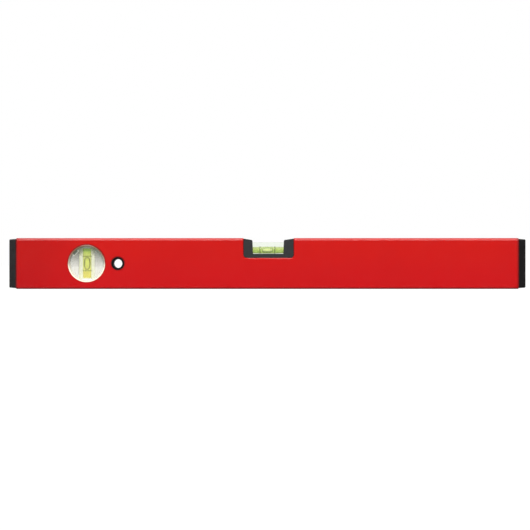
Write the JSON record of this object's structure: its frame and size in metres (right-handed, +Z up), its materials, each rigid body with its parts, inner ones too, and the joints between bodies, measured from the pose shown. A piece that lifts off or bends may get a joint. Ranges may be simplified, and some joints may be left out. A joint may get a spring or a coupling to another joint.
{
  "type": "spirit level",
  "caption": "Box-section spirit level with a level vial in the top edge, a round plumb vial and a sleeved hanging hole.",
  "frame": {"origin": "under the middle of the level, on the plane of its lower measuring face", "axes": "+X along the level towards the end far from the hanging hole, +Y from the front face to the rear face, +Z up"},
  "size_m": [0.5, 0.0212, 0.0493],
  "materials": {
    "red_coating": "satin",
    "cap_plastic": "satin",
    "cradle_plastic": "satin",
    "sleeve_plastic": "gloss",
    "clear_acrylic": "gloss",
    "clear_shell": "gloss",
    "ring_black": "matte",
    "vial_liquid": "gloss",
    "air_bubble": "gloss"
  },
  "bodies": {
    "level": {"profile": "red_coating", "left_end_cap": "cap_plastic", "right_end_cap": "cap_plastic", "level_vial_cradle": "cradle_plastic", "level_vial_block": "clear_acrylic", "level_vial_plug": "clear_acrylic", "level_vial_left_ring": "ring_black", "level_vial_right_ring": "ring_black", "level_vial_liquid": "vial_liquid", "plumb_vial_front_shell": "clear_shell", "plumb_vial_rear_shell": "clear_shell", "plumb_vial_block": "clear_acrylic", "plumb_vial_plug": "clear_acrylic", "plumb_vial_upper_ring": "ring_black", "plumb_vial_lower_ring": "ring_black", "plumb_vial_liquid": "vial_liquid", "hang_hole_front_sleeve": "sleeve_plastic", "hang_hole_rear_sleeve": "sleeve_plastic"},
    "level_bubble": {"level_vial_bubble": "air_bubble"},
    "plumb_bubble": {"plumb_vial_bubble": "air_bubble"}
  },
  "joints": [
    {"name": "level_bubble_slide", "type": "slide", "parent": "level", "child": "level_bubble", "axis": [1, 0, 0], "range_m": [-0.0114, 0.0119], "stiffness_N_per_m": 10, "deforming": ["level_vial_liquid"]},
    {"name": "plumb_bubble_slide", "type": "slide", "parent": "level", "child": "plumb_bubble", "axis": [0, 0, 1], "range_m": [-0.0074, 0.0055], "stiffness_N_per_m": 10, "deforming": ["plumb_vial_liquid"]}
  ]
}
